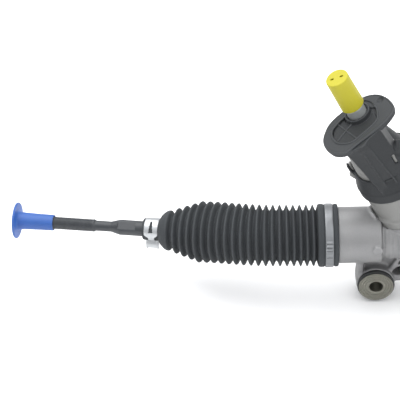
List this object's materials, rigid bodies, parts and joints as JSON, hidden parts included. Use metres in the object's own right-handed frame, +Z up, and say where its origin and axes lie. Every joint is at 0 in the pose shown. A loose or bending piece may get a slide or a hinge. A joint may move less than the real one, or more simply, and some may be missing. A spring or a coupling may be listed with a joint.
{
  "type": "steering rack",
  "caption": "Rack and pinion steering gear with a tilted pinion tower, bellows, tie rods with capped threads and bushed mounting ears.",
  "frame": {"origin": "centre of the pinion-side mounting bush's bore", "axes": "+X along the rack towards the end away from the pinion, +Y away from the side the mounting bolts come from, +Z up towards the pinion tower"},
  "size_m": [1.1884, 0.1442, 0.3036],
  "materials": {
    "cast_aluminium": "satin",
    "yoke_aluminium": "satin",
    "rack_steel": "satin",
    "bearing_steel": "gloss",
    "spring_steel": "satin",
    "zinc_screws": "satin",
    "phosphated_steel": "satin",
    "bellows_rubber": "matte",
    "bush_rubber": "matte",
    "bush_steel": "satin",
    "clamp_steel": "gloss",
    "cover_plastic": "satin",
    "bearing_plastic": "satin",
    "sensor_plastic": "satin",
    "blue_cap_plastic": "gloss",
    "yellow_cap_plastic": "satin"
  },
  "bodies": {
    "housing": {"gear_housing": "cast_aluminium", "tower_housing": "cast_aluminium", "tower_screws": "zinc_screws", "dust_cover": "cover_plastic", "upper_bearing_outer_race": "bearing_steel", "bearing_circlip": "bearing_steel", "lower_bearing_cup": "bearing_steel", "pinion_oil_seal": "bush_rubber", "pinion_end_plug": "zinc_screws", "torque_sensor_stator": "sensor_plastic", "yoke": "yoke_aluminium", "yoke_liner": "bearing_plastic", "yoke_spring": "spring_steel", "yoke_plug": "yoke_aluminium", "yoke_lock_nut": "zinc_screws", "rack_bush": "bearing_plastic", "left_bellows": "bellows_rubber", "right_bellows": "bellows_rubber", "left_large_clamp": "clamp_steel", "right_large_clamp": "clamp_steel", "left_bush_rubber": "bush_rubber", "right_bush_rubber": "bush_rubber", "left_bush_sleeve": "bush_steel", "right_bush_sleeve": "bush_steel"},
    "rack": {"rack_bar": "rack_steel", "left_socket": "rack_steel", "left_ball_seat": "bearing_plastic", "left_lock_washer": "spring_steel", "right_socket": "rack_steel", "right_ball_seat": "bearing_plastic", "right_lock_washer": "spring_steel"},
    "pinion": {"pinion_shaft": "rack_steel", "input_shaft": "rack_steel", "torsion_bar": "rack_steel", "torque_sensor_rotor": "sensor_plastic", "upper_bearing_inner_race": "bearing_steel"},
    "ball_set": {"upper_bearing_balls": "bearing_steel"},
    "needle_set": {"lower_bearing_needles": "bearing_steel"},
    "shaft_cap": {"shaft_cap": "yellow_cap_plastic"},
    "left_swing": {"left_small_clamp": "clamp_steel"},
    "left_tie_rod": {"left_tie_rod": "phosphated_steel"},
    "left_thread_cap": {"left_thread_cap": "blue_cap_plastic"},
    "right_swing": {"right_small_clamp": "clamp_steel"},
    "right_tie_rod": {"right_tie_rod": "phosphated_steel"},
    "right_thread_cap": {"right_thread_cap": "blue_cap_plastic"}
  },
  "joints": [
    {"name": "rack_slide", "type": "slide", "parent": "housing", "child": "rack", "axis": [1, 0, 0], "range_m": [-0.06, 0.06], "deforming": ["left_bellows", "right_bellows"]},
    {"name": "pinion_spin", "type": "hinge", "parent": "housing", "child": "pinion", "pos_m": [0.0529, 0.0152, 0.06], "axis": [-0.4067, 0, 0.9135], "range_deg": [-475, 475]},
    {"name": "ball_set_orbit", "type": "hinge", "parent": "housing", "child": "ball_set", "pos_m": [0.0529, 0.0152, 0.06], "axis": [-0.4067, 0, 0.9135], "range_deg": [-184, 184]},
    {"name": "needle_set_orbit", "type": "hinge", "parent": "housing", "child": "needle_set", "pos_m": [0.0529, 0.0152, 0.06], "axis": [-0.4067, 0, 0.9135], "range_deg": [-196, 196]},
    {"name": "shaft_cap_pull", "type": "slide", "parent": "pinion", "child": "shaft_cap", "axis": [-0.4067, 0, 0.9135], "range_m": [0, 0.09]},
    {"name": "left_tie_rod_swing", "type": "hinge", "parent": "rack", "child": "left_swing", "pos_m": [-0.124, 0, 0.06], "axis": [0.2706, 0.9627, 0], "range_deg": [-8.5, 23], "deforming": ["left_bellows"]},
    {"name": "left_tie_rod_spin", "type": "hinge", "parent": "left_swing", "child": "left_tie_rod", "pos_m": [-0.124, 0, 0.06], "axis": [-0.9551, 0.2685, -0.1253], "continuous": true},
    {"name": "left_cap_pull", "type": "slide", "parent": "left_tie_rod", "child": "left_thread_cap", "axis": [-0.9551, 0.2685, -0.1253], "range_m": [0, 0.09]},
    {"name": "right_tie_rod_swing", "type": "hinge", "parent": "rack", "child": "right_swing", "pos_m": [0.516, 0, 0.06], "axis": [0.2706, -0.9627, 0], "range_deg": [-8.5, 23], "deforming": ["right_bellows"]},
    {"name": "right_tie_rod_spin", "type": "hinge", "parent": "right_swing", "child": "right_tie_rod", "pos_m": [0.516, 0, 0.06], "axis": [0.9551, 0.2685, -0.1253], "continuous": true},
    {"name": "right_cap_pull", "type": "slide", "parent": "right_tie_rod", "child": "right_thread_cap", "axis": [0.9551, 0.2685, -0.1253], "range_m": [0, 0.09]}
  ],
  "couplings": [
    {"joint": "pinion_spin", "follows": "rack_slide", "rad_per_m": 137.38},
    {"joint": "ball_set_orbit", "follows": "rack_slide", "rad_per_m": 52.837},
    {"joint": "needle_set_orbit", "follows": "rack_slide", "rad_per_m": 56.4}
  ]
}
